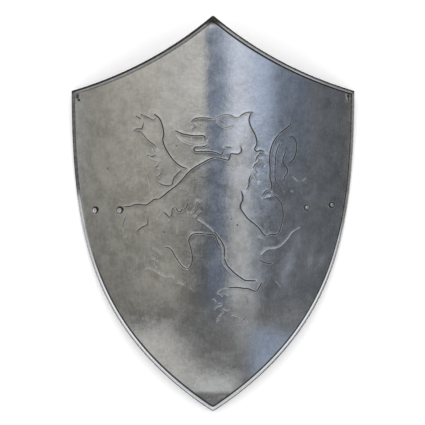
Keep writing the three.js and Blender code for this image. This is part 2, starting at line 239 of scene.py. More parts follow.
# The darkness of each line goes into the colour: partly dirt in the line, partly painted shade.
LION = [
    # Head
    [1, 0.8, -21.5, 95, -19.5, 97.5, -16, 99, -5, 99, 0.5, 98],
    [0.8, 0.6, -21.5, 95, -18, 91, -20, 88.5, -19.5, 85.5],
    [0.8, 0.6, 0, 98, 6.5, 100.5, 9.5, 102, 13.5, 102.5, 18.5, 101.5, 22, 99.5, 26.5, 100],
    [0.5, 0.5, 5, 99.5, 4, 95.5, 7.5, 91.5, 13, 89.5, 18.5, 91],
    [1, 0.9, -5, 72.5, -10, 70.5, -18, 70, -19, 68, -18, 66, -12, 66, -4.5, 66, 2, 65, 8.5, 63, 10.5, 66.5],
    [0.9, 0.9, 11.5, 70.5, 18, 70],
    [1, 0.7, 26.5, 100, 29, 102.5, 33, 104.5, 36.5, 105, 39, 105],
    # Tongue
    [1, 1, -37, 86.5, -31.5, 84, -25.5, 82.5, -17, 81.5, -9.5, 81.5, -8, 80, -8, 77],
    [0.55, 0.2, -36.5, 83, -31.5, 77.5, -25.5, 74.5, -20, 73, -12, 73, -7.5, 74.5, -5.5, 78],
    # Mane
    [1, 0.9, 39, 105, 37, 102, 36, 96.5, 38, 90, 41.5, 83.5, 43.5, 77, 43.5, 73, 41.5, 68.5, 43.5, 66,
     47, 67, 51, 66],
    [0.9, 0.8, 42.5, 57, 44.5, 61.5, 48, 64.5, 51, 64],
    [0.9, 0.3, 42.5, 56, 45, 58.5, 47.5, 58, 51, 52.5],
    [0.9, 0.85, 40, 49.5, 42, 53, 45.5, 55],
    [0.8, 0.8, 42, 48, 44.5, 44.5],
    [0.8, 0.6, 41.5, 42.5, 44.5, 37],
    # Back
    [1, 0.8, 38, 43, 36, 38, 36, 34, 35, 30.5, 33, 28],
    [1, 1, 28, 26.5, 29.5, 22.5, 29.5, 17.5, 27.5, 13.5, 27.5, 9.5, 30.5, 4.5, 35, -1, 40.5, -5.5,
     45.5, -10, 51.5, -17.5, 54, -18],
    [0.7, 0.95, 54, -18, 57.5, -16.5, 63, -16.5, 65.5, -15, 67.5, -10.5, 70, 0, 70, 6.5, 69, 12.5, 67, 16.5,
     64, 20, 60.5, 22],
    [0.6, 0.3, 43.5, -18.5, 50, -20.5],
    # Throat and foreleg
    [1, 0.9, 27.5, 71, 28.5, 67, 25.5, 63.5, 21.5, 63.5, 17.5, 63.5, 17, 61, 15.5, 57.5, 11.5, 58, 7.5, 59,
     2, 60],
    [1, 1, 2, 60, -4, 58, -9.5, 55, -17.5, 50.5, -24.5, 45, -30.5, 38, -36.5, 32, -42, 28, -48, 23,
     -54, 18.5],
    [1, 0.9, -54, 18.5, -58.5, 18.5, -62.5, 15.5, -66.5, 13, -70.5, 13, -74.5, 13.5, -79, 13, -83.5, 11.5,
     -90, 11],
    [0.6, 0.7, -86.5, 2.5, -89, -2.5, -90.5, -7.5, -90, -11],
    [0.9, 0.8, -65, 0, -65.5, -6.5, -70.5, -9, -74.5, -12, -77.5, -15.5],
    # Chest hair
    [0.9, 0.5, -54.5, -0.5, -51.5, 3, -49, 6],
    [1, 1, -49, 6, -45.5, 2.5, -43.5, -0.5],
    [1, 0.8, -43.5, -0.5, -41, 3.5, -40.5, 8.5, -37.5, 11],
    [0.9, 0.8, -37.5, 11, -34.5, 6, -32, 6.5, -30, 10],
    [0.8, 0.8, -25, 7, -22, 12.5],
    [0.9, 0.65, -20.5, 5.5, -17.5, 9.5, -15.5, 16, -12.5, 16.5],
    [0.8, 0.6, -12, 7.5, -17, 2.5],
    [0.7, 0.8, -30, 7, -26, 11, -25, 16],
    # Raised foreleg
    [1, 0.9, -76.5, 101.5, -72, 99],
    [0.9, 0.7, -71.5, 103, -65.5, 100.5, -59.5, 97.5, -57, 99],
    [1, 1, -58, 103, -53.5, 99, -51, 93.5, -49.5, 87.5, -49, 83, -50, 78, -48.5, 72, -45.5, 66, -41.5, 60,
     -36.5, 54.5, -31.5, 51, -26, 49],
    [0.9, 0.8, -69.5, 95.5, -70, 92, -71, 89.5, -74, 89, -76.5, 89, -79, 87],
    [0.9, 0.7, -79, 87, -72.5, 86, -70, 83.5, -66.5, 79, -62.5, 75.5, -58.5, 72.5, -56.5, 69.5],
    [0.8, 0.4, -60, 69.5, -58, 64.5, -55, 62.5],
    [0.9, 0.9, -65, 62.5, -61.5, 61, -57.5, 62.5],
    [0.8, 0.3, -65, 62.5, -58.5, 58.5, -53.5, 57],
    [0.6, 0.75, -59, 49.5, -55, 52, -53, 55],
    [0.6, 0.75, -59, 49.5, -54, 47],
    [0.6, 0.75, -57.5, 40, -53, 42.5, -51, 46],
    [0.6, 0.75, -57.5, 40, -52.5, 38.5],
    [0.9, 0.8, -54.5, 35, -50.5, 33, -45.5, 32, -41, 33, -40, 35.5, -38.5, 40, -35, 44, -30.5, 48],
    [0.35, 0.35, -68, 47.5, -65, 40.5, -63, 32.5, -62, 26.5],
    # Belly
    [0.8, 0.35, -15, -1, -10, -4.5, -4.5, -8.5, 0.5, -13],
    [1, 0.9, 0.5, -13, 4.5, -18, 8.5, -23.5, 11, -29, 11.5, -35, 10.9, -40.2],
    [1, 1, 10.9, -40.2, 14, -47, 18.5, -52, 23.4, -56.4, 28.4, -60, 31.8, -62, 37.6, -62.4, 42.5, -62.4],
    [0.6, 0.15, 3.4, -19.3, 6.9, -24.4, 9.2, -29.3, 9.7, -35, 9.1, -41.2, 12.4, -48.3, 17.1, -53.5,
     22.2, -58, 27.3, -61.6, 31.2, -63.6, 37.3, -64.2, 41.5, -64.2],
    # Forward hind leg
    [0.9, 0.8, -48.5, -29.5, -45, -29.5, -41, -32.5, -37.5, -38.5, -33.5, -44.5, -29.5, -49, -25, -51],
    [1, 0.9, -25, -51, -22, -47.5, -20.5, -42, -21, -35, -22.5, -28.5, -24, -22.5, -22, -18, -19, -16,
     -14, -15.5, -8, -16],
    [1, 1, -8, -16, -2, -16.5, 1.5, -17.5, 3.5, -21, 5, -25.5, 7, -28.5],
    [0.8, 0.5, -60.5, -30, -56, -32.5, -51.5, -36],
    [0.8, 0.4, -62, -40, -58, -41.5, -55, -43.5],
    [0.8, 0.3, -55.5, -38, -58, -44, -57, -48],
    [0.5, 0.4, -68.5, -51, -64, -50.5, -61, -51.5, -55.5, -53.5, -52, -56, -48.5, -58, -44, -58.5,
     -39.5, -58.5, -38, -62],
    [0.35, 0.5, -37, -65, -34, -64, -29, -66],
    [0.35, 0.8, -27.5, -63.5, -24.7, -67.5, -21.5, -70.5],
    [0.4, 0.8, -61, -38.2, -59.5, -36.9],
    [0.4, 0.7, -58.5, -43.6, -55, -44.7],
    # Standing hind leg
    [0.5, 0.55, 4, -74.5, 7, -71.5, 10.5, -70, 15, -69.5],
    [0.9, 1, 15, -69.5, 23, -69, 30.5, -70, 35.5, -70.5, 40, -72.5, 44, -73],
    [0.9, 1, 44, -73, 46, -69, 49, -64],
    [0.5, 0.6, 4.5, -75.5, 7, -75.5, 9.5, -78],
    [0.45, 0.5, 12, -75, 16, -77],
    [0.3, 0.5, -1, -81, 1, -80.5, 3.5, -83.5],
    [0.4, 0.55, 1.5, -91.5, 3, -89, 5.5, -87.5, 9.5, -87],
    [0.35, 0.6, 5.5, -84.5, 8.5, -85],
    [0.4, 0.4, 10, -89.5, 13.5, -92, 17, -90],
    [0.35, 0.7, 8, -91.5, 10.5, -92.5],
    [0.4, 0.55, 4, -104.5, 4.5, -100, 6.5, -96.7, 9, -94.6, 11, -94],
    [0.35, 0.7, 6, -102, 7, -98.7, 8, -97],
    [0.35, 0.5, 18.3, -96.7, 22, -97, 26.5, -98.7],
    [0.4, 0.5, 24.5, -106, 30, -105, 34, -102],
    [0.4, 0.7, 27.5, -102.8, 31, -100.7, 33.5, -98.4],
    [0.35, 0.6, 33, -79.3, 35, -84.7, 37.3, -86.3],
    [0.75, 0.35, 87, -9.5, 83, -11.5, 78, -15, 75, -19.5, 71, -24, 66.5, -28, 61.5, -30, 53.5, -31,
     50, -33.5, 47.5, -36],
    [0.4, 0.95, 46, -41.5, 49, -43.5, 52.5, -45, 57.5, -45.5, 59.5, -45],
    [0.5, 0.2, 62, -63, 65.5, -66.5, 67, -69.5],
    # Tail
    [0.9, 1, 78.5, 97.5, 77.5, 93.5, 74.5, 90.5, 70.5, 87.5, 66.5, 84],
    [1, 1, 66.5, 84, 62, 78.5, 59, 72.5, 57, 64.5, 56.5, 57, 57, 49.5, 57, 39, 58.5, 34, 58.5, 28],
    [0.9, 0.8, 56, 27.5, 53, 27, 50.5, 24, 49.5, 21],
    [0.9, 0.1, 51, 20.5, 55, 21.5, 59, 22.5],
    [0.6, 0.85, 68, 75.5, 65.5, 71.5, 63, 64, 62.5, 57, 62, 48, 62, 40.5, 63.5, 35.5, 66.5, 31.5, 70, 27.5],
    [0.8, 1, 75, 80.5, 80.5, 81, 83, 77, 84, 70, 83, 64, 81, 59, 77.5, 55.5, 75, 55],
    [1, 1, 73, 67, 71.5, 62.5, 70, 58, 71, 53, 74, 50, 74.5, 45, 71.5, 40.5, 71, 35.5],
    [0.8, 0.2, 79.5, 41.5, 82.5, 38.5, 85.5, 36.5],
    [0.7, 0.2, 89.5, 37, 93.5, 40.5],
    [0.6, 0.2, 77.5, 27, 80.5, 26],
]


def smooth_line(points, spacing):
    """A centripetal Catmull-Rom line through the points, at even steps of about the spacing."""
    def mixed(p, q, t, low, high):
        return (high - t) / (high - low) * p + (t - low) / (high - low) * q

    points = np.asarray(points, dtype=float)
    padded = np.concatenate([[2 * points[0] - points[1]], points, [2 * points[-1] - points[-2]]])
    fine = []
    for a, b, c, d in zip(padded, padded[1:], padded[2:], padded[3:]):
        t1 = np.linalg.norm(b - a) ** 0.5
        t2 = t1 + np.linalg.norm(c - b) ** 0.5
        t3 = t2 + np.linalg.norm(d - c) ** 0.5
        t = np.linspace(t1, t2, 12, endpoint=False)[:, None]
        early, inner, late = mixed(a, b, t, 0, t1), mixed(b, c, t, t1, t2), mixed(c, d, t, t2, t3)
        fine.append(mixed(mixed(early, inner, t, 0, t2), mixed(inner, late, t, t1, t3), t, t1, t2))
    fine = np.concatenate(fine + [points[-1:]])
    run = np.concatenate([[0], np.cumsum(np.linalg.norm(np.diff(fine, axis=0), axis=1))])
    even = np.linspace(0, run[-1], max(2, round(run[-1] / spacing) + 1))
    return columns(*(np.interp(even, run, part) for part in fine.T)), even


def lion_lines(spacing):
    """Every line in the shield's frame: its places, the distance from its nearer end, depth, and darkness
    from dirt and painted shade.
    """
    for depth, dirt, *squares in LION:
        points = np.reshape(squares, (-1, 2)) * LION_SQUARE + np.array([0, LION_MIDDLE])
        line, run = smooth_line(points, spacing)
        yield line, np.minimum(run, run[-1] - run), depth, dirt


def struck_samples():
    """Places close together on every line, and the share of the full depth and of the darkness, dirt and
    painted shade, at each.
    """
    samples = [(line, depth * np.clip(0.45 + 0.55 * ends / STROKE_END, 0, 1),
                dirt * np.clip(0.7 + 0.3 * ends / STROKE_END, 0, 1))
               for line, ends, depth, dirt in lion_lines(0.25)]
    return [np.concatenate(parts) for parts in zip(*samples)]


def search_tree(places):
    """A tree that finds the nearest of many places in plan."""
    tree = KDTree(len(places))
    for i, (x, y) in enumerate(places):
        tree.insert((x, y, 0), i)
    tree.balance()
    return tree


def distances(places, tree):
    return np.array([tree.find((x, y, 0))[2] for x, y in places])


STRUCK_PLACES, STRUCK_STRENGTH, STRUCK_DIRT_AND_SHADE = struck_samples()
STRUCK_TREE = search_tree(STRUCK_PLACES)

# Relief of the face: struck lines with a raised lip, small pits, and the slow unevenness of hand planishing

PITS = [(-186.6, 427.3, 1.3), (-86.1, 315.2, 1.6), (-64, 465.6, 1.2), (42.3, 327.5, 1.5),
        (31.4, 337.1, 1.1), (-240.4, 551, 3), (243.2, 551, 2.4), (-4.2, 9.5, 1.8)]
PUNCH_DOTS = [(-76.5, 101.5), (-79, 87), (-37, 86.5), (-71.5, 103), (-58, 103), (-65, 62.5), (39, 105)]
PITS += [(x * LION_SQUARE, LION_MIDDLE + y * LION_SQUARE, 1.25) for x, y in PUNCH_DOTS]
PIT_DEPTH = 0.4

# Each rubbed place: where it is, its length, width and lean, and how bright it is
RUBBED_PLACES = [(148, 300, 16, 10, 10, 0.5), (134, 260, 36, 9.5, 17, 0.7), (171, 261, 18, 7, 12, 0.55),
                 (194, 266, 16, 6, 28, 0.55), (-2, 674, 5, 6, 0, 0.6)]

WAVES = np.random.default_rng(7)
WAVE_COUNT = 14
WAVE_LENGTHS = WAVES.uniform(55, 170, WAVE_COUNT)
WAVE_TURNS = WAVES.uniform(-0.9, 0.9, WAVE_COUNT)
WAVE_STARTS = WAVES.uniform(0, 2 * math.pi, WAVE_COUNT)
WAVE_HEIGHT = 0.035


def unevenness(x, y):
    """Height and slopes of the slow waves."""
    height, across, along = np.zeros((3, len(x)))
    for length, turn, start in zip(WAVE_LENGTHS, WAVE_TURNS, WAVE_STARTS):
        kx = 2 * math.pi / length * math.cos(turn)
        ky = 2 * math.pi / length * math.sin(turn)
        size = WAVE_HEIGHT * length / 100
        phase = kx * x + ky * y + start
        height += size * np.sin(phase)
        across += size * kx * np.cos(phase)
        along += size * ky * np.cos(phase)
    return height, across, along


def groove_profile(distance):
    """Height of a struck line at a distance from its middle, and how steeply it changes."""
    w = GROOVE_HALF_WIDTH
    share = np.clip(distance / w, 0, 1)
    cut = -GROOVE_DEPTH * (1 - share ** 2) ** 2
    cut_slope = np.where(distance < w, 4 * GROOVE_DEPTH * share * (1 - share ** 2) / w, 0)
    from_lip = distance - 1.35 * w
    lip_width = 0.45 * w
    lip = GROOVE_LIP * hump(from_lip / lip_width)
    return cut + lip, cut_slope - 2 * from_lip / lip_width ** 2 * lip


def burnished(x, y):
    """Brighter places where the face has been rubbed."""
    bright = np.zeros(len(x))
    for px, py, long, wide, lean, share in RUBBED_PLACES:
        turn = math.radians(lean)
        along = (x - px) * math.sin(turn) + (y - py) * math.cos(turn)
        aside = (x - px) * math.cos(turn) - (y - py) * math.sin(turn)
        bright = np.maximum(bright, share * hump(along / long, aside / wide))
    return bright


def settled_dirt(x, y):
    """Painted shade in the tip, in the two corners and under the peak."""
    tip = (1 - eased(y, 31, 37)) * 0.56
    corner = 0.92 * hump((np.abs(x) - 243) / 5, (y - 558) / 7)
    peak = 0.85 * hump(x / 17, (y - 683) / 9) * (1 - burnished(x, y))
    return np.maximum.reduce([tip, corner, peak])


def relief(places):
    """Height, its two slopes and the painted darkness, at many places in plan: dirt and painted shade in
    the lines, darkened pits, and painted shade round the rivets, in the tip, the corners and under the
    peak.
    """
    x, y = places.T
    height, across, along = unevenness(x, y)
    dark = np.zeros(len(x))
    for i, (px, py) in enumerate(places):
        (qx, qy, _), index, distance = STRUCK_TREE.find((px, py, 0))
        if distance > GROOVE_REACH:
            continue
        strength = STRUCK_STRENGTH[index]
        rise, slope = groove_profile(np.array(distance))
        height[i] += strength * rise
        if distance > 1e-6:
            across[i] += strength * slope * (px - qx) / distance
            along[i] += strength * slope * (py - qy) / distance
        # Darkness in the line: partly dirt, partly painted shade.
        dark[i] = STRUCK_DIRT_AND_SHADE[index] * max(0, 1 - (distance / (1.2 * GROOVE_HALF_WIDTH)) ** 2)
    for px, py, radius in PITS:
        aside, ahead = x - px, y - py
        square = (aside ** 2 + ahead ** 2) / radius ** 2
        dent = PIT_DEPTH * np.exp(-2 * square)
        height -= dent
        across += 4 * aside / radius ** 2 * dent
        along += 4 * ahead / radius ** 2 * dent
        dark = np.maximum(dark, np.clip(1.3 * np.exp(-1.2 * square), 0, 1))
    # Painted shade round each rivet head, darkest above it.
    for px, py in RIVETS.values():
        ring = hump((np.hypot(x - px, y - py) - HEAD_RADIUS - 0.2) / 0.9)
        dark = np.maximum(dark, ring * (0.8 + 0.2 * np.sign(y - py)))
    return height, across, along, np.maximum(dark, settled_dirt(x, y))


# The sheet and its rim as one closed mesh

BACKGROUND_STEP = 6
ROW_STEP = BACKGROUND_STEP * 0.87
LINE_STEP = 2
LINE_ROWS = (0, 0.45, 0.8, 1.15, 1.55, 2.1)
PIT_ROWS = (0, 0.4, 0.8, 1.2, 1.7)
PIT_SIDES = 12
HEAD_RINGS = (4.6, 5.4, 6, 6.6, 7.3, 8.4)
BORE_RADIUS = SHANK_RADIUS + CLEARANCE
BORE_SIDES = 24
FACE_INSET = 7.3
FRONT_SECTION = [(6.6, 0), (5.8, 0), (5.25, -0.04), (4.8, -0.2), (4.35, -0.42), (3.95, -0.48)]
BACK_SECTION = [(3.95, -1.75), (4.3, -1.45), (4.9, -1.25), (6.4, -1.2)]
FRONT_CREASE = 4.35
BACK_CREASE = 4.1
BEAD_FROM = 16
BEAD_TO = 352
BEAD_STEPS = 24

# Where the rim's painted shade and painted highlight change on its way up: fully one way below, the other
# way above
TOP_BEGINS = (CORNER_HEIGHT - 16, CORNER_HEIGHT - 1)
HIGH_BEGINS = (190, 330)
LEFT_BRIGHT_ENDS = (364, 396)
RIGHT_BRIGHT_ENDS = (285, 350)


def face_ring(inset, offset):
    """A ring beside the rim that follows the face, raised or sunk by the offset."""
    x, y = rim_ring(inset, RIM_RADIUS - RIM_RISE)[:, :2].T
    return on_face(x, y) + offset * face_normal(x, y)


def rim_parts(places):
    """How far each place of a ring counts as left, as top edge and as high up the side."""
    top = eased(places[:, 1], *TOP_BEGINS)
    return places[:, 0] < 0, top, eased(places[:, 1], *HIGH_BEGINS) * (1 - top)


def bead_shade_and_highlight(places, angle):
    """Painted shade and painted highlight of one ring of the bead: dark outside and at the points, bright
    low down.
    """
    across, along = np.abs(places[:, 0]), places[:, 1]
    left, top, high = rim_parts(places)
    lower = 1 - np.where(left, eased(along, *LEFT_BRIGHT_ENDS), eased(along, *RIGHT_BRIGHT_ENDS))
    upper_side = (1 - lower) * (1 - top)
    right_side = upper_side * ~left
    left_top = top * left
    # Painted shade at the peak and at the two corners.
    peak = hump(across / 30, (along - SHIELD_HEIGHT) / 26)
    corner = hump((across - SHIELD_WIDTH / 2) / 11, (along - CORNER_HEIGHT) / 11)
    # Painted shade on the outer side of the bead, standing in for a dark reflection.
    outer_from = 101 - 15 * top - 16 * upper_side - 20 * left_top + 34 * right_side
    outer = eased(angle, outer_from, outer_from + 24) * (1 - eased(angle, 300, 340))
    # Painted shade in the crease on the inner side of the bead.
    crease_to = 16 + 16 * top + 22 * right_side
    crease = 1 - 0.6 * high * left - 0.6 * left_top - 0.3 * right_side
    crease *= 1 - eased(angle, crease_to, crease_to + 22 + 6 * top)
    # Painted shade that makes the upper sides and the top edge darker.
    upper_shade = 0.62 * upper_side - 0.12 * right_side + 0.18 * top + 0.26 * left_top
    dirt = np.maximum.reduce([0.95 * outer, crease, 0.9 * peak, 0.85 * corner, upper_shade])
    # Painted highlight across the middle of the bead, fullest on the lower sides.
    middle = eased(angle, 30 + 35 * high, 50 + 35 * high)
    middle *= 1 - eased(angle, outer_from - 8, outer_from + 12)
    highlight = np.clip(lower * (1 - 0.35 * high) + 0.18 * top, 0, 1) * (1 - 0.8 * (peak + corner))
    return np.clip(dirt, 0, 1), middle * highlight


def rim_rings():
    """Rings of the section, from the face over the bead to the back, with each one's painted shade and
    painted highlight.
    """
    made = []
    for inset, offset in FRONT_SECTION:
        ring = face_ring(inset, offset)
        left, top, high = rim_parts(ring)
        # Painted shade in the crease beside the bead, weaker high up the sides and along the left top edge.
        crease_lightened = np.where(left, 0.55 * high + 0.4 * top, 0.25 * high)
        crease = min(1, 1.8 * hump(inset - FRONT_CREASE)) * (1 - crease_lightened)
        made.append((ring, np.maximum(crease, settled_dirt(ring[:, 0], ring[:, 1])), np.zeros(len(ring))))
    for degrees in np.linspace(BEAD_FROM, BEAD_TO, BEAD_STEPS):
        angle = math.radians(degrees)
        ring = rim_ring(RIM_RADIUS * math.cos(angle), RIM_RADIUS * math.sin(angle))
        made.append((ring, *bead_shade_and_highlight(ring, degrees)))
    for inset, offset in BACK_SECTION:
        ring = face_ring(inset, offset)
        # Painted shade in the crease behind the bead.
        crease = 0.8 * hump((inset - BACK_CREASE) / 0.9)
        made.append((ring, np.full(len(ring), crease), np.zeros(len(ring))))
    rings, dirty, bright = zip(*made)
    return list(rings), np.concatenate(dirty), np.concatenate(bright)


def circle(x, y, radius, sides):
    turns = np.linspace(0, 2 * math.pi, sides, endpoint=False)
    return columns(x + radius * np.cos(turns), y + radius * np.sin(turns))


def face_points(border):
    """Places in plan where the face gets a vertex, inside its border."""
    grid = []
    for i, y in enumerate(np.arange(0, SHIELD_HEIGHT, ROW_STEP)):
        start = BACKGROUND_STEP / 2 * (i % 2) - SHIELD_WIDTH / 2
        grid.append([(x, y) for x in np.arange(start, SHIELD_WIDTH / 2, BACKGROUND_STEP)])
    grid = np.concatenate(grid)
    points = [grid[distances(grid, STRUCK_TREE) > GROOVE_REACH]]
    for line, _, _, _ in lion_lines(LINE_STEP):
        along = unit(np.gradient(line, axis=0))
        aside = columns(-along[:, 1], along[:, 0])
        for row in LINE_ROWS:
            for side in ((1, -1) if row else (1,)):
                points.append(line + side * row * GROOVE_HALF_WIDTH * aside)
        reach = along * GROOVE_HALF_WIDTH
        points += [line[:1] - reach[:1], line[-1:] + reach[-1:]]
    points += [circle(x, y, row * radius, PIT_SIDES) for x, y, radius in PITS for row in PIT_ROWS]
    points = np.concatenate(points)
    for x, y in RIVETS.values():
        points = points[np.hypot(points[:, 0] - x, points[:, 1] - y) > 1.3 * BORE_RADIUS]
        points = np.concatenate([points] + [circle(x, y, radius, BORE_SIDES) for radius in HEAD_RINGS])
    points = points[inside(points, border)]
    return points[distances(points, search_tree(border)) > 1]


def inside(points, border):
    """Which points lie inside a closed line."""
    x, y = points.T
    odd = np.zeros(len(points), dtype=bool)
    for (ax, ay), (bx, by) in zip(border, np.roll(border, -1, axis=0)):
        crosses = (ay > y) != (by > y)
        with np.errstate(divide="ignore", invalid="ignore"):
            odd ^= crosses & (x < (bx - ax) * (y - ay) / (by - ay) + ax)
    return odd


def thinned(points, gap):
    """The points without those that crowd another."""
    _, first = np.unique(np.round(points / gap).astype(int), axis=0, return_index=True)
    return points[np.sort(first)]


def ring_edges(start, count):
    return [(start + i, start + (i + 1) % count) for i in range(count)]


def face_triangles(border):
    """Places, triangles, and the indices of the border and of each bore in them."""
    loops = [border] + [circle(x, y, BORE_RADIUS, BORE_SIDES) for x, y in RIVETS.values()]
    starts = np.cumsum([0] + [len(loop) for loop in loops])
    edges = [edge for start, loop in zip(starts, loops) for edge in ring_edges(start, len(loop))]
    places = np.concatenate(loops + [thinned(face_points(border), 0.35)])
    verts, _, faces, origins, *_ = delaunay_2d_cdt([Vector(p) for p in places.tolist()], edges, [], 0, 1e-5)
    flat = np.array([tuple(v) for v in verts])
    triangles = np.array([f for f in faces if len(f) == 3])
    middles = flat[triangles].mean(axis=1)
    keep = inside(middles, border)
    for x, y in RIVETS.values():
        keep &= np.hypot(middles[:, 0] - x, middles[:, 1] - y) > BORE_RADIUS * 0.98
    used = np.unique(triangles[keep])
    where = {source: new for new, sources in enumerate(origins) for source in sources}
    rings = [np.searchsorted(used, [where[start + i] for i in range(len(loop))])
             for start, loop in zip(starts, loops)]
    return flat[used], np.searchsorted(used, triangles[keep]), rings


def add_mesh(name, places, faces, **painted):
    """A smooth mesh from places in the shield's frame, with numbers on it for the material to read."""
    mesh = bpy.data.meshes.new(name)
    matrix = np.array(TO_WORLD)
    world = places @ matrix[:3, :3].T + matrix[:3, 3]
    world = np.clip(world, np.array(cad_box[0]), np.array(cad_box[1]))
    mesh.from_pydata(world.tolist(), [], [tuple(f) for f in faces])
    mesh.polygons.foreach_set("use_smooth", [True] * len(mesh.polygons))
    mesh.update()
    piece = bpy.data.objects.new(name, mesh)
    bpy.context.scene.collection.objects.link(piece)
    for label, values in painted.items():
        layer = mesh.attributes.new(label, "FLOAT", "POINT")
        layer.data.foreach_set("value", np.asarray(values, dtype=np.float32))
    return piece


def build_plate():
    rings, rim_dirt, rim_polish = rim_rings()
    border = face_ring(FACE_INSET, 0)[:, :2]
    flat, triangles, loops = face_triangles(border)
    x, y = flat.T
    normal = face_normal(x, y)
    height, across, along, dark = relief(flat)
    fade = np.clip(distances(flat, search_tree(border)) / 6, 0, 1)
    height, across, along = height * fade, across * fade, along * fade
    front = on_face(x, y) + height[:, None] * normal
    back = on_face(x, y) + (height * 0.8 - SHEET)[:, None] * normal
    slope_x, slope_y = face_slopes(x, y)
    shade = unit(columns(-(slope_x + across), -(slope_y + along), np.ones_like(x)))
    n = len(flat)
    faces = [tuple(t) for t in triangles.tolist()]
    faces += [tuple(n + i for i in reversed(t)) for t in faces]
    length = len(rings[0])
    line = [loops[0], *(range(2 * n + k * length, 2 * n + (k + 1) * length) for k in range(len(rings))),
            n + loops[0]]
    for inner, outer in zip(line, line[1:]):
        faces += [(inner[i], inner[j], outer[j], outer[i]) for i, j in ring_edges(0, length)]
    for loop in loops[1:]:
        faces += [(loop[j], n + loop[j], n + loop[i], loop[i]) for i, j in ring_edges(0, len(loop))]
    # Darkness: dirt and painted shade on the face, painted shade on the rim. Brightness: rubbed places on
    # the face, painted highlight on the rim.
    dirt = np.concatenate([dark, dark * 0, rim_dirt])
    polish = np.concatenate([burnished(x, y), dark * 0, rim_polish])
    piece = add_mesh("shield_sheet", np.concatenate([front, back] + rings), faces, dirt=dirt, polish=polish)
    shading_normals(piece, shade, normal, n)
    return piece


def shading_normals(piece, shade, normal, n):
    """Exact normals on the face and the back, so that reflections run as smoothly as on real sheet."""
    mesh = piece.data
    normals = np.empty(len(mesh.vertices) * 3)
    mesh.vertex_normals.foreach_get("vector", normals)
    normals = normals.reshape(-1, 3)
    turn = np.array(TO_WORLD.to_3x3().normalized())
    normals[:n] = shade @ turn.T
    normals[n:2 * n] = -normal @ turn.T
    mesh.normals_split_custom_set_from_vertices(normals.tolist())


def lathed(profile, squash, phase=0):
    """Rings of a turned piece in its own frame, from radius and height, slightly out of round."""
    turns = np.linspace(0, 2 * math.pi, RIVET_SIDES, endpoint=False)
    swell = 1 + squash * np.cos(2 * turns + phase) + 0.6 * squash * np.cos(3 * turns + 2 * phase)
    return np.concatenate([columns(r * swell * np.cos(turns), r * swell * np.sin(turns), z + 0 * turns)
                           for r, z in profile])


def ring_faces(rings, sides, closed):
    """Faces between rings that follow each other, and a cap on each end of an open run."""
    faces = [(a * sides + i, a * sides + j, b * sides + j, b * sides + i)
             for a, b in ring_edges(0, rings)[:rings if closed else -1] for i, j in ring_edges(0, sides)]
    if not closed:
        faces.append(tuple(reversed(range(sides))))
        faces.append(tuple((rings - 1) * sides + i for i in range(sides)))
    return faces


def set_in(places, x, y):
    """Places in a rivet's own frame, brought to its seat and square to the face."""
    x, y = np.array(float(x)), np.array(float(y))
    normal = face_normal(x, y)
    across = unit(np.cross([0, 1, 0], normal))
    return on_face(x, y) + places @ np.stack([across, np.cross(normal, across), normal])


RIVET_SIDES = 56
TAIL_TOP = SHEET + CLEARANCE + STRAP_THICKNESS + CLEARANCE + WASHER_THICKNESS
TAIL_FLAT = 0.62
HEAD_SEAT = 0.02
HEAD_EDGE = [(HEAD_RADIUS - 0.35, HEAD_SEAT), (HEAD_RADIUS - 0.06, 0.16)]
DOME_BASE = 0.32
DOME_FULLNESS = 0.92
HAMMER_MARKS = 5
HAMMER_SPREAD = 2.2
HAMMER_RADIUS = 1.6
HAMMER_DEPTH = 0.14


def rivet_dirt(name, places, right):
    """Painted shade round the head's edge: towards the top on the left rivets, down and outwards on the
    right; a little dark on the shank and tail.
    """
    aside, upward = places[:, 0] / HEAD_RADIUS, places[:, 1] / HEAD_RADIUS
    lean, clean_to, most = 0.16 * upward, 0.56, 0.95
    if right:
        lean, clean_to, most = 0.34 * aside - 0.2 * upward, 0.3, 0.75 if "outer" in name else 0.66
    edge = np.hypot(places[:, 0], places[:, 1]) / HEAD_RADIUS + lean
    return most * np.where(places[:, 2] > -1, eased(edge, clean_to, clean_to + 0.28), 0.15)


def build_rivet(name, x, y, seed):
    rng = np.random.default_rng(seed)
    tail_end = -TAIL_TOP - TAIL_HEIGHT
    profile = [(0.35, tail_end - 0.1), (TAIL_RADIUS * TAIL_FLAT, tail_end)]
    profile += [(TAIL_RADIUS - 1 + math.cos(a), -TAIL_TOP - 0.9 - 0.95 * math.sin(a))
                for a in np.radians(np.linspace(70, -20, 6))]
    profile += [(TAIL_RADIUS - 0.5, -TAIL_TOP), (SHANK_RADIUS, -TAIL_TOP), (SHANK_RADIUS, HEAD_SEAT)]
    profile += HEAD_EDGE
    profile += [(HEAD_RADIUS * math.cos(a) ** DOME_FULLNESS, DOME_BASE + HEAD_HEIGHT * math.sin(a))
                for a in np.radians(np.linspace(-4, 84, 14)[1:])]
    places = lathed(profile, 0.012, rng.uniform(0, 6))
    top = places[:, 2] > 0.5
    for mark in rng.normal(0, 1, (HAMMER_MARKS, 2)):
        dent = HAMMER_DEPTH * hump(*((places[:, :2] - HAMMER_SPREAD * mark) / HAMMER_RADIUS).T)
        places[:, 2] -= np.where(top, dent, 0)
    faces = ring_faces(len(profile), RIVET_SIDES, False)
    dirt = rivet_dirt(name, places, x > 0)
    return add_mesh(f"steel_rivet_{name}", set_in(places, x, y), faces, dirt=dirt)


WASHER_BORE = SHANK_RADIUS + 0.12
WASHER_BEVEL = 0.22


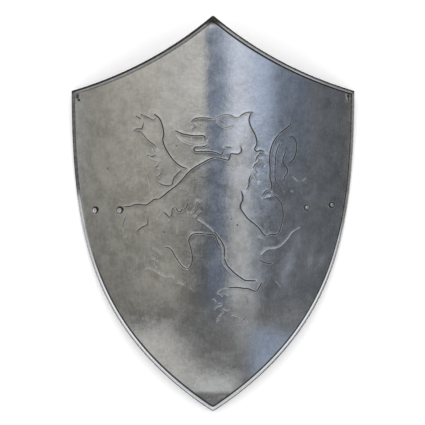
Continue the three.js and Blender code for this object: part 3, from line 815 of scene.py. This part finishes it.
def build_washer(name, x, y):
    top = -SHEET - CLEARANCE - STRAP_THICKNESS - 0.06
    bottom = -TAIL_TOP + 0.02
    # The third number of each row darkens the colour: painted shade, deepest where the washer meets the
    # strap and round its bore.
    profile = [
        (WASHER_BORE, bottom + WASHER_BEVEL, 0.2), (WASHER_BORE + WASHER_BEVEL, bottom, 0.1),
        (WASHER_RADIUS - 0.45, bottom, 0), (WASHER_RADIUS - 0.12, bottom + 0.12, 0),
        (WASHER_RADIUS, bottom + 0.4, 0.1), (WASHER_RADIUS, top - 0.3, 0.4),
        (WASHER_RADIUS - 0.1, top - 0.05, 0.8), (WASHER_RADIUS - 0.3, top, 1),
        (WASHER_BORE + WASHER_BEVEL, top, 0.6), (WASHER_BORE, top - WASHER_BEVEL, 0.4),
    ]
    places = lathed([row[:2] for row in profile], 0.004)
    faces = ring_faces(len(profile), RIVET_SIDES, True)
    dirt = np.repeat([row[2] for row in profile], RIVET_SIDES)
    return add_mesh(f"steel_washer_{name}", set_in(places, x, y), faces, dirt=dirt)


# The arm strap: leather with burnished, creased edges, and hollows under the washers

STRAP_STATIONS = 230
STRAP_HALF = STRAP_WIDTH / 2
STRAP_EDGE_ROUND = 1.1
STRAP_END_ROUND = 9
EDGE_CREASE_INSET = 4.2
EDGE_CREASE_DEPTH = 0.35
WASHER_HOLLOW = 0.22
CUP_DEPTH = 0.9
WRINKLES = ((-128, 0.35), (-121, 0.25), (-113, 0.3), (127, 0.35), (119, 0.28), (112, 0.22))


def strap_middle(x):
    (left_x, left_y), (right_x, right_y) = RIVETS["left_outer"], RIVETS["right_outer"]
    y = left_y + (right_y - left_y) * (x - left_x) / (right_x - left_x)
    hang = (STRAP_DROP - CLEARANCE) * np.maximum(0, 1 - (x / STRAP_FREE) ** 2) ** STRAP_FULLNESS
    place = on_face(x, y) - (SHEET + CLEARANCE + STRAP_THICKNESS / 2) * face_normal(x, y)
    place[..., 2] -= hang
    return place


def strap_section():
    """The strap's outline across: offset from the middle line and height, up one side and back."""
    thick, round_ = STRAP_THICKNESS / 2, STRAP_EDGE_ROUND
    flat = STRAP_HALF - round_
    edge = [(flat + round_ * math.cos(a), (thick - round_) * np.sign(math.sin(a)) + round_ * math.sin(a))
            for a in np.radians(np.linspace(90, -90, 9))]
    crease = [STRAP_HALF - EDGE_CREASE_INSET + aside for aside in (-0.9, -0.45, 0, 0.45, 0.9)]
    across = [0, 3, 6, 9, 12, *crease, flat - 0.6]
    right = [(a, thick) for a in across] + edge + [(a, -thick) for a in across[::-1]]
    left = [(-a, b) for a, b in right[1:-1]][::-1]
    return np.array(right + left)


def build_strap():
    across, lift = strap_section().T
    start, stop = RIVETS["left_outer"][0] - STRAP_END, RIVETS["right_outer"][0] + STRAP_END
    x = np.linspace(start, stop, STRAP_STATIONS)
    middle = strap_middle(x)
    along = strap_middle(x + 0.5) - strap_middle(x - 0.5)
    square = unit(columns(-along[:, 2], 0 * x, along[:, 0]))
    phases = np.random.default_rng(11).uniform(0, 6, 3)
    sway = sum(0.25 / k * np.sin(k * x / 38 + phase) for k, phase in zip((1, 2, 3), phases))
    end = np.minimum(x - start, stop - x)[:, None]
    round_off = np.sqrt(1 - (1 - np.clip(end / STRAP_END_ROUND, 0, 1)) ** 2)
    wide = across * ((STRAP_HALF - STRAP_END_ROUND + STRAP_END_ROUND * round_off) / STRAP_HALF)
    edge_line = hump((np.abs(across) - (STRAP_HALF - EDGE_CREASE_INSET)) / 0.42)
    crease = EDGE_CREASE_DEPTH * edge_line * np.clip(end / 4, 0, 1)
    free = np.clip(1 - (x / STRAP_FREE) ** 2, 0, 1)[:, None]
    curl = (wide / STRAP_HALF) ** 2
    wrinkle = sum(size * hump((x[:, None] - spot + 2.5 * curl) / 1.5) for spot, size in WRINKLES)
    hollow = np.zeros_like(wide)
    for rx, ry in RIVETS.values():
        far = np.hypot(x[:, None] - rx, middle[:, 1:2] + wide - ry)
        hollow += WASHER_HOLLOW * hump(np.clip((far - WASHER_RADIUS) / 1.6, 0, None))
    hollow *= lift < 0
    wrinkle *= lift < 0
    rise = lift - np.sign(lift) * crease + hollow + wrinkle + CUP_DEPTH * free * curl
    rise += sway[:, None] * free * 0.6
    places = middle[:, None, :] + rise[..., None] * square[:, None, :]
    places[..., 1] += wide
    faces = ring_faces(STRAP_STATIONS, len(across), False)
    worn = np.tile(np.clip((np.abs(across) - (STRAP_HALF - 2.2)) / 1.6, 0, 1), STRAP_STATIONS)
    # Darker along the edge crease lines, and painted shade in the hollows under the washers.
    dirt = np.clip(0.7 * edge_line + 2.2 * hollow, 0, 1).reshape(-1)
    return add_mesh("leather_arm_strap", places.reshape(-1, 3), faces, edge=worn, dirt=dirt)


# Finishes. Shared effects are node groups; each finish sets its own values.


class Value:
    """What a node gives; arithmetic on it adds the nodes that reckon it."""

    def __init__(self, tree, socket):
        self.tree = tree
        self.socket = socket

    def __add__(self, other):
        return maths("ADD", self, other)

    def __mul__(self, other):
        return maths("MULTIPLY", self, other)


def feed(target, source):
    """Links a socket, or sets a plain value on it."""
    if isinstance(source, Value):
        source.tree.links.new(source.socket, target)
    else:
        target.default_value = source


def put(tree, kind, inputs=None, output=0, **settings):
    """One output of a new node with its settings and inputs."""
    node = tree.nodes.new(f"ShaderNode{kind}")
    for name, value in settings.items():
        setattr(node, name, value)
    for name, source in (inputs or {}).items():
        feed(node.inputs[name], source)
    return Value(tree, node.outputs[output])


def maths(operation, *sources, clamp=False):
    inputs = dict(enumerate(sources))
    return put(sources[0].tree, "Math", inputs, operation=operation, use_clamp=clamp)


def between(value, low, high, to_low=0, to_high=1, smooth=True):
    """The value from low to high, turned into to_low to to_high."""
    inputs = {"Value": value, "From Min": low, "From Max": high, "To Min": to_low, "To Max": to_high}
    kind = "SMOOTHSTEP" if smooth else "LINEAR"
    return put(value.tree, "MapRange", inputs, clamp=True, interpolation_type=kind)


MIX_SHARE, MIX_FIRST, MIX_SECOND, MIXED = 0, 6, 7, 2


def blended(share, first, second):
    inputs = {MIX_SHARE: share, MIX_FIRST: first, MIX_SECOND: second}
    return put(share.tree, "Mix", inputs, MIXED, data_type="RGBA", clamp_factor=True)


def noise(place, scale, detail, roughness, distortion=0):
    inputs = {"Vector": place, "Scale": scale, "Detail": detail, "Roughness": roughness,
              "Distortion": distortion}
    return put(place.tree, "TexNoise", inputs)


def stretched(place, scale, turn=(0, 0, 0)):
    return put(place.tree, "Mapping", {"Vector": place, "Scale": scale, "Rotation": turn})


def effect_group(name, output, make, **numbers):
    """A shader node group that takes a place and some numbers, and gives one number."""
    tree = bpy.data.node_groups.new(name, "ShaderNodeTree")
    tree.interface.new_socket("Place", in_out="INPUT", socket_type="NodeSocketVector")
    for label, number in numbers.items():
        socket = tree.interface.new_socket(label, in_out="INPUT", socket_type="NodeSocketFloat")
        socket.default_value = number
    tree.interface.new_socket(output, in_out="OUTPUT", socket_type="NodeSocketFloat")
    entry = tree.nodes.new("NodeGroupInput")
    leave = tree.nodes.new("NodeGroupOutput")
    feed(leave.inputs[output], make(*(Value(tree, entry.outputs[label]) for label in ("Place", *numbers))))
    return tree


def effect(group, place, **numbers):
    return put(place.tree, "Group", {"Place": place, **numbers}, node_tree=group)


def make_cloudy(place, scale):
    broad = noise(place, scale, 4, 0.55, 0.4)
    fine = noise(place, scale * 5.3, 3, 0.6, 0.2)
    return between(broad * 0.7 + fine * 0.3, 0.36, 0.64)


def make_rubbed(place, scale):
    lines = noise(stretched(place, (1, 0.045, 1)), scale, 5, 0.65)
    more = noise(stretched(place, (1, 0.12, 1), (0, 0, 0.05)), scale * 2.1, 3, 0.6)
    return between(lines * 0.65 + more * 0.35, 0.34, 0.66, smooth=False)


def make_scratches(place, scale):
    thin = (stretched(place, (1, stretch, 1), (0, 0, turn))
            for turn, stretch in ((0.5, 0.03), (-0.9, 0.04), (1.35, 0.025)))
    first, second, third = (between(noise(way, scale, 2, 0.55), 0.66, 0.72) for way in thin)
    return maths("MAXIMUM", maths("MAXIMUM", first, second), third)


# Darkness from the painted numbers, which hold dirt and painted shade, broken up by noise, with specks of
# dirt.
def make_dirt(place, caught, scale, speck_from):
    strong = between(noise(place, scale, 4, 0.7), 0.3, 0.6, 0.8, 1)
    speck = between(noise(place, scale * 0.9, 2, 0.5), speck_from, speck_from + 0.035)
    return maths("MAXIMUM", between(caught * strong, 0.05, 0.75), speck * 0.6, clamp=True)


def make_grain(place, scale):
    inputs = {"Vector": place, "Scale": scale, "Randomness": 0.9}
    cells = put(place.tree, "TexVoronoi", inputs, "Distance", feature="F1")
    pores = noise(place, scale * 2.4, 2, 0.6)
    return between(cells, 0.1, 0.65, 1, 0) * 0.75 + pores * 0.25


CLOUDY = effect_group("cloudy_tone", "Cloud", make_cloudy, Scale=10)
RUBBED = effect_group("rubbed_lines", "Line", make_rubbed, Scale=300)
SCRATCHED = effect_group("fine_scratches", "Scratch", make_scratches, Scale=500)
CAUGHT = effect_group("caught_dirt", "Dirt and shade", make_dirt, Caught=0, Scale=200, Speck=0.75)
GRAIN = effect_group("leather_grain", "Grain", make_grain, Scale=900)


def new_finish(name):
    """A material, the inputs of its Principled shader, and the place on the piece in metres."""
    finish = bpy.data.materials.new(name)
    finish.use_nodes = True
    tree = finish.node_tree
    return finish, tree.nodes["Principled BSDF"].inputs, put(tree, "TexCoord", output="Object")


def painted(place, name):
    return put(place.tree, "Attribute", output="Fac", attribute_name=name)


def bump(sockets, height, strength, distance):
    inputs = {"Height": height, "Strength": strength, "Distance": distance}
    feed(sockets["Normal"], put(height.tree, "Bump", inputs))


def steel_finish(name, dark, light, rub_scale, rough, dirt_color, speck_from, bump_strength):
    finish, sockets, place = new_finish(name)
    broad, small, fleck = (effect(CLOUDY, place, Scale=scale) for scale in (9, 38, 120))
    line = effect(RUBBED, place, Scale=rub_scale)
    scratch = effect(SCRATCHED, place, Scale=rub_scale * 1.3)
    dirt = effect(CAUGHT, place, Caught=painted(place, "dirt"), Scale=260, Speck=speck_from)
    polish = painted(place, "polish")
    tone = broad * 0.26 + small * 0.32 + fleck * 0.24 + line * 0.18
    clean = blended(tone, (*dark, 1), (*light, 1))
    clean = blended(scratch * 0.3, clean, (0.75, 0.75, 0.75, 1))
    # Brighter colour on rubbed places, and a painted highlight on the rim.
    clean = blended(polish, clean, (0.93, 0.93, 0.93, 1))
    # Darker colour from dirt and from painted shade.
    feed(sockets["Base Color"], blended(dirt, clean, (*dirt_color, 1)))
    feed(sockets["Metallic"], between(dirt, 0, 1, 1, 0.12))
    feed(sockets["Specular IOR Level"], 0.05)
    worn = between(small, 0, 1, *rough) + line * 0.05 + polish * 0.16
    feed(sockets["Roughness"], maths("ADD", worn, dirt * 0.75, clamp=True))
    bump(sockets, line * 0.5 + small * 1.2 + fleck * 0.5 + scratch * -0.3, bump_strength, 0.0004)
    return finish


def leather_finish():
    finish, sockets, place = new_finish("strap_leather")
    cloud = effect(CLOUDY, place, Scale=22)
    grain = effect(GRAIN, place, Scale=850)
    scuff = effect(RUBBED, stretched(place, (1, 1, 1), (0, 0, math.pi / 2)), Scale=120)
    dirt = effect(CAUGHT, place, Caught=painted(place, "dirt"), Scale=160, Speck=0.72)
    edge = painted(place, "edge")
    body = blended(cloud, (0.072, 0.033, 0.016, 1), (0.15, 0.075, 0.036, 1))
    body = blended(scuff * 0.25, body, (0.26, 0.15, 0.085, 1))
    body = blended(edge, body, (0.045, 0.02, 0.011, 1))
    # Darkened along the edge crease lines, by painted shade in the washer hollows, and by specks.
    feed(sockets["Base Color"], blended(dirt, body, (0.022, 0.011, 0.007, 1)))
    feed(sockets["Roughness"], between(grain, 0, 1, 0.62, 0.46) + cloud * -0.08 + edge * -0.14)
    bump(sockets, grain, 0.5, 0.00035)
    return finish


def wear(piece, finish, slot, *nodes):
    piece.data.materials.append(finish)
    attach(piece, "root")
    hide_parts(*nodes)


# The studio: a pale floor, and a soft surround whose bright and dim parts the steel mirrors

FLOOR_SIZE = 6
FLOOR_HEIGHT = -0.0004
FLOOR_LIGHT = (1.3, 1.3, 1.3, 1)
WARM, IVORY, PLAIN = (1.04, 1, 0.9), (1.02, 1, 0.95), (0.98, 1, 1.01)
COOL, SKY, BLUE = (0.92, 0.99, 1.1), (0.9, 0.975, 1.17), (0.83, 0.985, 1.28)
HEAD_END = [
    (-90, 0.42, WARM), (-65, 0.58, WARM), (-39, 0.8, WARM), (-15, 0.9, IVORY), (-4.6, 1.14, IVORY),
    (-3, 0.36, BLUE), (1, 0.42, BLUE), (5, 0.5, BLUE), (8.5, 0.97, SKY), (13, 1.29, SKY),
    (18, 1.13, SKY), (26, 0.9, BLUE), (30, 0.8, BLUE), (36, 0.37, BLUE), (48, 0.28, BLUE),
    (56, 0.27, COOL), (65, 0.19, COOL), (90, 0.17, COOL),
]
MIDDLE = [
    (-90, 0.27, WARM), (-65, 0.32, WARM), (-45, 0.4, WARM), (-23, 0.44, WARM), (-15, 0.29, WARM),
    (-8, 0.23, PLAIN), (-4, 0.2, COOL), (0, 0.25, BLUE), (5, 0.265, BLUE), (7, 0.38, COOL),
    (9.5, 0.62, PLAIN), (13, 0.7, PLAIN), (17, 0.68, PLAIN), (21, 0.54, COOL), (25, 0.29, COOL),
    (29, 0.205, COOL), (41, 0.205, COOL), (60, 0.2, COOL), (90, 0.14, COOL),
]

# Parts towards the foot end, each with its band across, its band along and its slant,
# where the lower third of the face mirrors them
LOW_LIGHTS = [
    (0.80, (1.01, 1, 0.97), (-140, -39, 8), (-27, -12, 1.8), 1.4),
    (0.25, WARM, (-90, -30, 10), (-9.6, -6.2, 1), 0),
    (0.235, PLAIN, (-9, 4.8, 3), (-15.5, -9, 1.5), 0),
    (0.27, PLAIN, (-11, -1.5, 1.5), (0.2, 1.5, 0.5), 0),
    (0.43, BLUE, (20.5, 28, 1.5), (1, 2.4, 0.4), 0),
    (0.25, BLUE, (-1, 6, 1.5), (-6, -1.5, 1), 0),
    (0.25, BLUE, (2, 8, 1.5), (-9.5, -3.8, 1), 0),
    (0.37, COOL, (20, 25, 1.5), (-7, -1.7, 0.8), 0),
    (0.47, PLAIN, (11.5, 22, 3), (-16, -6, 3), 0),
    (0.54, BLUE, (20, 75, 7), (-24, -12.5, 2), 0),
    (0.9, PLAIN, (-11, 13, 4), (-28.6, -23.3, 1.2), 0),
]


def lit(bright, tint):
    return (*(bright * part for part in tint), 1)


def ramp(value, stops):
    """Light along an angle in degrees: each stop is the angle, the brightness and the tint."""
    low, high = stops[0][0], stops[-1][0]
    light = put(value.tree, "ValToRGB", {0: between(value, low, high, smooth=False)})
    elements = light.socket.node.color_ramp.elements
    elements[1].position = 1
    for angle, _, _ in stops[1:-1]:
        elements.new((angle - low) / (high - low))
    for element, (_, bright, tint) in zip(elements, stops):
        element.color = lit(bright, tint)
    return light


def soft_band(value, low, high, *soft):
    """1 between two angles and 0 outside, with one softness or one for each end."""
    up = between(value, low - soft[0], low + soft[0])
    return up * between(value, high - soft[-1], high + soft[-1], 1, 0)


def build_surround():
    world = bpy.data.worlds.new("studio_surround")
    bpy.context.scene.world = world
    world.use_nodes = True
    world.cycles.sampling_method = "NONE"
    tree = world.node_tree
    tree.nodes.clear()
    direction = put(tree, "TexCoord", output="Generated")
    inputs = {"Vector": direction, "Angle": -REST_TILT}
    turned = put(tree, "VectorRotate", inputs, rotation_type="X_AXIS")
    parts = put(tree, "SeparateXYZ", {0: turned}).socket.node.outputs
    x, y, z = (Value(tree, part) for part in parts)
    degrees = 180 / math.pi
    across = maths("ARCTAN2", x, z) * degrees
    along = maths("ARCSINE", y) * degrees
    elevation = maths("ARCSINE", z) * degrees
    low_edge = between(across, -2, 4, -1, 2) + between(across, 20, 28, 0, -1.2)
    high_edge = between(across, -2, 4, 6, 3.8) + between(across, 20, 28, 0, -0.6)
    upper = between(along, low_edge, high_edge, smooth=False)
    mirrored = blended(upper, ramp(across, MIDDLE), ramp(across, HEAD_END))
    mirrored = blended(between(along, -5, -11), mirrored, (0.27, 0.27, 0.27, 1))
    for bright, tint, across_band, along_band, slant in LOW_LIGHTS:
        mask = soft_band(across + along * slant, *across_band) * soft_band(along, *along_band)
        mirrored = blended(mask, mirrored, lit(bright, tint))
    foot = soft_band(along, -62, -33.5, 4, 2.5) * between(elevation, 18, 26)
    head = soft_band(along, 11, 36, 3, 6)
    window = soft_band(along, 9.5, 34, 2, 4) * soft_band(across, -20, 20, 6)
    panels = maths("MAXIMUM", soft_band(across, -64, -14, 8), soft_band(across, 16, 60, 8))
    for bright, tint, mask in ((0.85, COOL, foot), (1.25, PLAIN, foot * panels),
                               (0.5, COOL, head), (1.15, PLAIN, window)):
        mirrored = blended(mask, mirrored, lit(bright, tint))
    low = x * -0.12 + y * -0.06 + maths("SINE", across * 0.07) * 0.05 + 0.36
    low = put(tree, "CombineColor", {0: low, 1: low, 2: low})
    mirrored = blended(between(elevation, 17, 10), mirrored, low)
    shown = blended(put(tree, "LightPath", output="Is Glossy Ray"), FLOOR_LIGHT, mirrored)
    surface = tree.nodes.new("ShaderNodeOutputWorld").inputs["Surface"]
    feed(surface, put(tree, "Background", {"Color": shown}))


def build_floor():
    bpy.ops.mesh.primitive_plane_add(size=FLOOR_SIZE, location=(0, 0, FLOOR_HEIGHT))
    floor = bpy.context.object
    floor.name = "studio_floor"
    finish, sockets, place = new_finish("pale_floor")
    feed(sockets["Base Color"], (0.97, 0.97, 0.97, 1))
    feed(sockets["Roughness"], 0.9)
    feed(sockets["Specular IOR Level"], 0.1)
    tree = place.tree
    pale = Value(tree, tree.nodes["Principled BSDF"].outputs[0])
    clear = put(tree, "BsdfTransparent")
    backfacing = put(tree, "NewGeometry", output="Backfacing")
    sides = put(tree, "MixShader", {0: backfacing, 1: pale, 2: clear})
    feed(tree.nodes["Material Output"].inputs["Surface"], sides)
    floor.data.materials.append(finish)
    floor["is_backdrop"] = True


CAMERA_PLACE = (-0.9, 349.5, 3000)
CAMERA_LENS = 145.6
CAMERA_SENSOR = 36
CAMERA_REACH = 50


def build_camera():
    camera = bpy.data.objects.new("camera", bpy.data.cameras.new("camera"))
    bpy.context.scene.collection.objects.link(camera)
    camera.data.lens = CAMERA_LENS
    camera.data.sensor_width = CAMERA_SENSOR
    camera.data.clip_end = CAMERA_REACH
    place = Matrix.Translation(TO_WORLD @ Vector(CAMERA_PLACE))
    camera.matrix_world = place @ Matrix.Rotation(REST_TILT, 4, "X")
    bpy.context.scene.camera = camera


PLATE_STEEL = steel_finish("shield_steel", (0.345, 0.345, 0.34), (0.655, 0.655, 0.65), 330,
                           (0.06, 0.13), (0.03, 0.028, 0.027), 0.74, 0.06)
RIVET_STEEL = steel_finish("rivet_steel", (0.42, 0.42, 0.42), (0.66, 0.655, 0.65), 900,
                           (0.1, 0.2), (0.02, 0.019, 0.018), 0.78, 0.1)
WASHER_STEEL = steel_finish("washer_steel", (0.3, 0.295, 0.285), (0.46, 0.455, 0.44), 900,
                            (0.28, 0.45), (0.03, 0.024, 0.02), 0.68, 0.15)

wear(build_plate(), PLATE_STEEL, "plate_steel", "shield_plate")
for seed, (rivet, (rivet_x, rivet_y)) in enumerate(RIVETS.items()):
    wear(build_rivet(rivet, rivet_x, rivet_y, seed), RIVET_STEEL, "rivet_steel", f"rivet_{rivet}")
    wear(build_washer(rivet, rivet_x, rivet_y), WASHER_STEEL, "washer_steel", f"washer_{rivet}")
wear(build_strap(), leather_finish(), "strap_leather", "arm_strap")

build_camera()
build_surround()
build_floor()
bpy.context.scene.view_settings.view_transform = "Standard"

sizes = {"cad": cad_box, "visual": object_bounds()}
{name: [list(corner) for corner in box] for name, box in sizes.items()}
